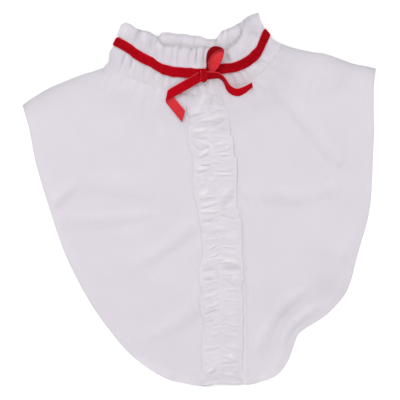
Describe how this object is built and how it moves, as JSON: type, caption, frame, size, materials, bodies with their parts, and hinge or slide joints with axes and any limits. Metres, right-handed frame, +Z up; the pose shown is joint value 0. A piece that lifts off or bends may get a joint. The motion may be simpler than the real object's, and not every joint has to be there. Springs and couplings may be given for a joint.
{
  "type": "detachable blouse collar",
  "caption": "Detachable cotton blouse collar lying flat: a curved bib with a frilled front, and a gathered stand collar tied with a velvet ribbon bow.",
  "frame": {"origin": "centre of the underside's bounding box, on the surface that the collar lies on", "axes": "+Z up from the surface through the thickness of the cloth, +Y from the hem towards the neck, +X towards the wearer's left side"},
  "size_m": [0.3718, 0.3896, 0.0263],
  "materials": {
    "cotton": "matte plain-woven cotton, slightly creased",
    "velvet": "velvet ribbon with a cut pile on one side and a satin back"
  },
  "bodies": {
    "root": {"back_panel": "cotton", "lower_front": "cotton", "upper_front": "cotton", "collar_frill": "cotton", "front_frill": "cotton", "neck_ribbon": "velvet", "bow_knot": "velvet", "bow_loop": "velvet", "right_tail": "velvet", "left_tail": "velvet"}
  },
  "joints": []
}
